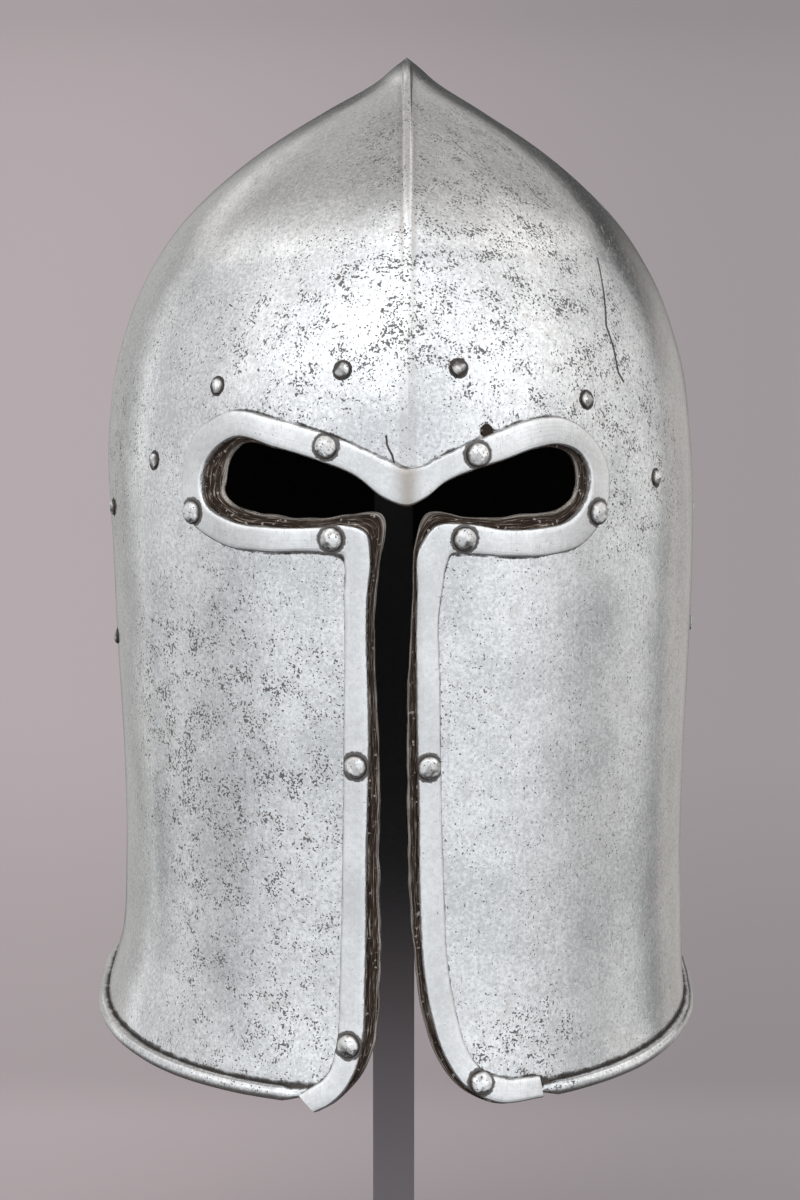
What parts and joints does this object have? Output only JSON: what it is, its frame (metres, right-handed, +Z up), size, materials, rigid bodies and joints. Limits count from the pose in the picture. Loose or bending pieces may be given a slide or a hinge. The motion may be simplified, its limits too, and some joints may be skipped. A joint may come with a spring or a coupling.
{
  "type": "barbute helmet on a post stand",
  "caption": "Hollow one-piece steel helmet with a T-shaped face opening, a riveted edge strip and a rolled lower edge, resting on a plain post stand.",
  "frame": {"origin": "middle of the underside of the stand's base plate", "axes": "+Z up, the face opening looks along -Y, +X to the right of someone facing it"},
  "size_m": [0.1912, 0.2412, 0.421],
  "materials": {
    "skull_steel": "old bright steel with dark pitting",
    "band_steel": "smoother bright steel with small pits",
    "rivet_steel": "worn bright steel, dark at the seat",
    "stand_grey": "plain dark grey paint, matt"
  },
  "bodies": {
    "root": {"skull_shell": "skull_steel", "face_band": "band_steel", "band_rivet_01": "rivet_steel", "band_rivet_02": "rivet_steel", "band_rivet_03": "rivet_steel", "band_rivet_04": "rivet_steel", "band_rivet_05": "rivet_steel", "band_rivet_06": "rivet_steel", "band_rivet_07": "rivet_steel", "band_rivet_08": "rivet_steel", "band_rivet_09": "rivet_steel", "band_rivet_10": "rivet_steel", "lining_rivet_01": "rivet_steel", "lining_rivet_02": "rivet_steel", "lining_rivet_03": "rivet_steel", "lining_rivet_04": "rivet_steel", "lining_rivet_05": "rivet_steel", "lining_rivet_06": "rivet_steel", "lining_rivet_07": "rivet_steel", "lining_rivet_08": "rivet_steel", "lining_rivet_09": "rivet_steel", "lining_rivet_10": "rivet_steel", "lining_rivet_11": "rivet_steel", "lining_rivet_12": "rivet_steel", "lining_rivet_13": "rivet_steel", "lining_rivet_14": "rivet_steel", "stand_post": "stand_grey", "stand_cap": "stand_grey", "stand_base": "stand_grey"}
  },
  "joints": []
}
